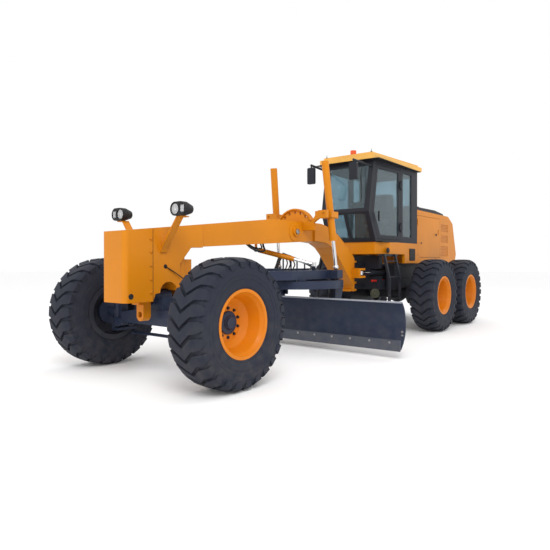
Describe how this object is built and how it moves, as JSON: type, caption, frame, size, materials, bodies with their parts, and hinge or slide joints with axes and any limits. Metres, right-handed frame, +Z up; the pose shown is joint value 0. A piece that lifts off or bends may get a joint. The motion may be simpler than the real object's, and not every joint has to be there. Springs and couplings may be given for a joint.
{
  "type": "motor grader",
  "caption": "Orange motor grader with a long arched front frame, blade under a turning circle, hinged rear frame, cab and tandem drive wheels",
  "frame": {"origin": "Middle of the bounding box in plan, on the floor", "axes": "+X to the machine's left, +Y to the rear, +Z up"},
  "size_m": [3.66, 9.12, 3.35],
  "materials": {
    "orange_paint": "semi_gloss",
    "dark_paint": "semi_gloss",
    "blue_grey_paint": "semi_gloss",
    "roof_paint": "semi_gloss",
    "worn_steel": "satin",
    "chrome_rod": "polished",
    "tyre_rubber": "matte",
    "cab_glass": "clear",
    "seat_plastic": "matte",
    "lamp_plastic": "gloss",
    "cast_block": "rough"
  },
  "bodies": {
    "rear": {"rear_frame": "dark_paint", "rear_axle": "dark_paint", "engine_block": "cast_block", "hood_shell": "orange_paint", "hood_deck": "dark_paint", "rear_grille": "dark_paint", "cab_frame": "dark_paint", "cab_roof": "roof_paint", "cab_base": "orange_paint", "cab_glass": "cab_glass", "cab_interior": "seat_plastic", "rear_lamps": "lamp_plastic", "ladders_and_tanks": "dark_paint", "rear_bumper": "dark_paint", "articulation_barrels": "dark_paint"},
    "front": {"front_frame": "orange_paint", "nose_box": "orange_paint", "saddle": "orange_paint", "headlamps": "dark_paint", "front_axle": "blue_grey_paint"},
    "cab_door_l": {"cab_door_left": "dark_paint", "door_glass_left": "cab_glass"},
    "cab_door_r": {"cab_door_right": "dark_paint", "door_glass_right": "cab_glass"},
    "hood_door_l": {"hood_door_left": "orange_paint"},
    "hood_door_r": {"hood_door_right": "orange_paint"},
    "lean_l": {"lean_bracket_left": "blue_grey_paint"},
    "lean_r": {"lean_bracket_right": "blue_grey_paint"},
    "lean_link": {"lean_bar": "blue_grey_paint"},
    "steer_l": {"knuckle_left": "blue_grey_paint"},
    "steer_r": {"knuckle_right": "blue_grey_paint"},
    "tie_end": {"tie_ball": "worn_steel"},
    "tie_link": {"tie_rod": "blue_grey_paint"},
    "wheel_fl": {"tyre_front_left": "tyre_rubber", "rim_front_left": "orange_paint"},
    "wheel_fr": {"tyre_front_right": "tyre_rubber", "rim_front_right": "orange_paint"},
    "wheel_ml": {"tyre_mid_left": "tyre_rubber", "rim_mid_left": "orange_paint"},
    "wheel_mr": {"tyre_mid_right": "tyre_rubber", "rim_mid_right": "orange_paint"},
    "wheel_rl": {"tyre_rear_left": "tyre_rubber", "rim_rear_left": "orange_paint"},
    "wheel_rr": {"tyre_rear_right": "tyre_rubber", "rim_rear_right": "orange_paint"},
    "ball": {"drawbar_ball": "worn_steel"},
    "drawbar": {"drawbar": "blue_grey_paint"},
    "circle": {"circle": "blue_grey_paint"},
    "carrier": {"blade_carrier": "blue_grey_paint"},
    "blade": {"moldboard": "blue_grey_paint", "cutting_edge": "worn_steel"},
    "lift_barrel_l": {"lift_barrel_left": "orange_paint"},
    "lift_barrel_r": {"lift_barrel_right": "orange_paint"},
    "lift_rod_l": {"lift_rod_left": "chrome_rod"},
    "lift_rod_r": {"lift_rod_right": "chrome_rod"},
    "swing_post": {"swing_trunnion": "worn_steel"},
    "swing_cyl": {"swing_barrel": "orange_paint"},
    "swing_ram": {"swing_rod": "chrome_rod"},
    "artic_rod_l": {"articulation_rod_left": "chrome_rod"},
    "artic_rod_r": {"articulation_rod_right": "chrome_rod"}
  },
  "joints": [
    {"name": "articulation", "type": "hinge", "parent": "rear", "child": "front", "pos_m": [0, 0.3925, 1.045], "axis": [0, 0, 1], "range_deg": [-27, 27]},
    {"name": "cab_door_left_hinge", "type": "hinge", "parent": "rear", "child": "cab_door_l", "pos_m": [0.5751, 1.3255, 2.4], "axis": [0, 0, 1], "range_deg": [0, 100]},
    {"name": "cab_door_right_hinge", "type": "hinge", "parent": "rear", "child": "cab_door_r", "pos_m": [-0.5751, 1.3255, 2.4], "axis": [0, 0, -1], "range_deg": [0, 100]},
    {"name": "hood_door_left_hinge", "type": "hinge", "parent": "rear", "child": "hood_door_l", "pos_m": [0.532, 2.2135, 1.825], "axis": [0, 0, -1], "range_deg": [0, 90]},
    {"name": "hood_door_right_hinge", "type": "hinge", "parent": "rear", "child": "hood_door_r", "pos_m": [-0.532, 2.2135, 1.825], "axis": [0, 0, 1], "range_deg": [0, 90]},
    {"name": "wheel_lean", "type": "hinge", "parent": "front", "child": "lean_l", "pos_m": [0.725, -3.9075, 0.56], "axis": [0, 1, 0], "range_deg": [-17, 17]},
    {"name": "wheel_lean_right", "type": "hinge", "parent": "front", "child": "lean_r", "pos_m": [-0.725, -3.9075, 0.56], "axis": [0, 1, 0], "range_deg": [-17.5, 17.5]},
    {"name": "lean_link_slide", "type": "slide", "parent": "front", "child": "lean_link", "axis": [1, 0, 0], "range_m": [-0.1, 0.1]},
    {"name": "steering", "type": "hinge", "parent": "lean_l", "child": "steer_l", "pos_m": [0.83, -3.9075, 0.675], "axis": [0, 0, 1], "range_deg": [-49, 49]},
    {"name": "steering_right", "type": "hinge", "parent": "lean_r", "child": "steer_r", "pos_m": [-0.83, -3.9075, 0.675], "axis": [0, 0, 1], "range_deg": [-49.5, 49.5]},
    {"name": "tie_end_turn", "type": "hinge", "parent": "steer_l", "child": "tie_end", "pos_m": [0.83, -3.6825, 0.395], "axis": [0, 0, 1], "range_deg": [-49.5, 49.5]},
    {"name": "tie_rod_tip", "type": "hinge", "parent": "tie_end", "child": "tie_link", "pos_m": [0.83, -3.6825, 0.395], "axis": [0, 1, 0], "range_deg": [-17.5, 17.5]},
    {"name": "wheel_front_left_spin", "type": "hinge", "parent": "steer_l", "child": "wheel_fl", "pos_m": [1.11, -3.9075, 0.675], "axis": [1, 0, 0], "continuous": true},
    {"name": "wheel_front_right_spin", "type": "hinge", "parent": "steer_r", "child": "wheel_fr", "pos_m": [-1.11, -3.9075, 0.675], "axis": [1, 0, 0], "continuous": true},
    {"name": "wheel_mid_left_spin", "type": "hinge", "parent": "rear", "child": "wheel_ml", "pos_m": [1.11, 1.6225, 0.675], "axis": [1, 0, 0], "continuous": true},
    {"name": "wheel_mid_right_spin", "type": "hinge", "parent": "rear", "child": "wheel_mr", "pos_m": [-1.11, 1.6225, 0.675], "axis": [1, 0, 0], "continuous": true},
    {"name": "wheel_rear_left_spin", "type": "hinge", "parent": "rear", "child": "wheel_rl", "pos_m": [1.11, 3.1625, 0.675], "axis": [1, 0, 0], "continuous": true},
    {"name": "wheel_rear_right_spin", "type": "hinge", "parent": "rear", "child": "wheel_rr", "pos_m": [-1.11, 3.1625, 0.675], "axis": [1, 0, 0], "continuous": true},
    {"name": "drawbar_swing", "type": "hinge", "parent": "front", "child": "ball", "pos_m": [0, -3.5775, 0.93], "axis": [0, 0, 1], "range_deg": [-10, 10]},
    {"name": "drawbar_lift", "type": "hinge", "parent": "ball", "child": "drawbar", "pos_m": [0, -3.5775, 0.93], "axis": [1, 0, 0], "range_deg": [-13, 7.5]},
    {"name": "circle_turn", "type": "hinge", "parent": "drawbar", "child": "circle", "pos_m": [0, -1.3075, 0.96], "axis": [0, 0, -1], "continuous": true},
    {"name": "blade_tilt", "type": "hinge", "parent": "circle", "child": "carrier", "pos_m": [0, -1.0075, 0.42], "axis": [1, 0, 0], "range_deg": [-22, 20]},
    {"name": "blade_shift", "type": "slide", "parent": "carrier", "child": "blade", "axis": [1, 0, 0], "range_m": [-0.6, 0.6]},
    {"name": "lift_barrel_left_tip", "type": "hinge", "parent": "front", "child": "lift_barrel_l", "pos_m": [0.53, -1.0975, 2.02], "axis": [0, 1, 0], "range_deg": [-30.18, 30.18]},
    {"name": "lift_rod_left_slide", "type": "slide", "parent": "lift_barrel_l", "child": "lift_rod_l", "axis": [0.0369, 0.1353, -0.9901], "range_m": [-0.3481, 0.596]},
    {"name": "lift_barrel_right_tip", "type": "hinge", "parent": "front", "child": "lift_barrel_r", "pos_m": [-0.53, -1.0975, 2.02], "axis": [0, 1, 0], "range_deg": [-30.18, 30.18]},
    {"name": "lift_rod_right_slide", "type": "slide", "parent": "lift_barrel_r", "child": "lift_rod_r", "axis": [-0.0369, 0.1353, -0.9901], "range_m": [-0.3481, 0.596]},
    {"name": "swing_post_turn", "type": "hinge", "parent": "front", "child": "swing_post", "pos_m": [-0.33, -1.8475, 1.49], "axis": [0.0598, 0.3417, 0.9379], "range_deg": [-17.87, 17.87]},
    {"name": "swing_cylinder_pitch", "type": "hinge", "parent": "swing_post", "child": "swing_cyl", "pos_m": [-0.33, -1.8475, 1.49], "axis": [0.5421, -0.8326, -0.1137], "range_deg": [-34.3, 20.21]},
    {"name": "swing_ram_slide", "type": "slide", "parent": "swing_cyl", "child": "swing_ram", "axis": [0.7949, 0.552, -0.2517], "range_m": [-0.2687, 0.2687]},
    {"name": "articulation_rod_left_slide", "type": "slide", "parent": "rear", "child": "artic_rod_l", "axis": [0.1065, 0.9943, 0], "range_m": [-0.1357, 0.1357]},
    {"name": "articulation_rod_right_slide", "type": "slide", "parent": "rear", "child": "artic_rod_r", "axis": [-0.1065, 0.9943, 0], "range_m": [-0.1357, 0.1357]}
  ],
  "couplings": [
    {"joint": "wheel_lean_right", "follows": "wheel_lean", "ratio": 1},
    {"joint": "lean_link_slide", "follows": "wheel_lean", "m_per_rad": 0.30547},
    {"joint": "steering_right", "follows": "steering", "ratio": 1},
    {"joint": "tie_end_turn", "follows": "steering", "ratio": -1},
    {"joint": "tie_rod_tip", "follows": "wheel_lean", "ratio": -1},
    {"joint": "lift_barrel_left_tip", "follows": "drawbar_swing", "ratio": 2.9179},
    {"joint": "lift_rod_left_slide", "follows": "drawbar_lift", "m_per_rad": -2.5829},
    {"joint": "lift_barrel_right_tip", "follows": "drawbar_swing", "ratio": 2.9179},
    {"joint": "lift_rod_right_slide", "follows": "drawbar_lift", "m_per_rad": -2.5829},
    {"joint": "swing_post_turn", "follows": "drawbar_swing", "ratio": 1.687},
    {"joint": "swing_cylinder_pitch", "follows": "drawbar_lift", "ratio": 2.5617},
    {"joint": "swing_ram_slide", "follows": "drawbar_swing", "m_per_rad": -1.5107},
    {"joint": "articulation_rod_left_slide", "follows": "articulation", "m_per_rad": 0.26685},
    {"joint": "articulation_rod_right_slide", "follows": "articulation", "m_per_rad": -0.26685}
  ]
}
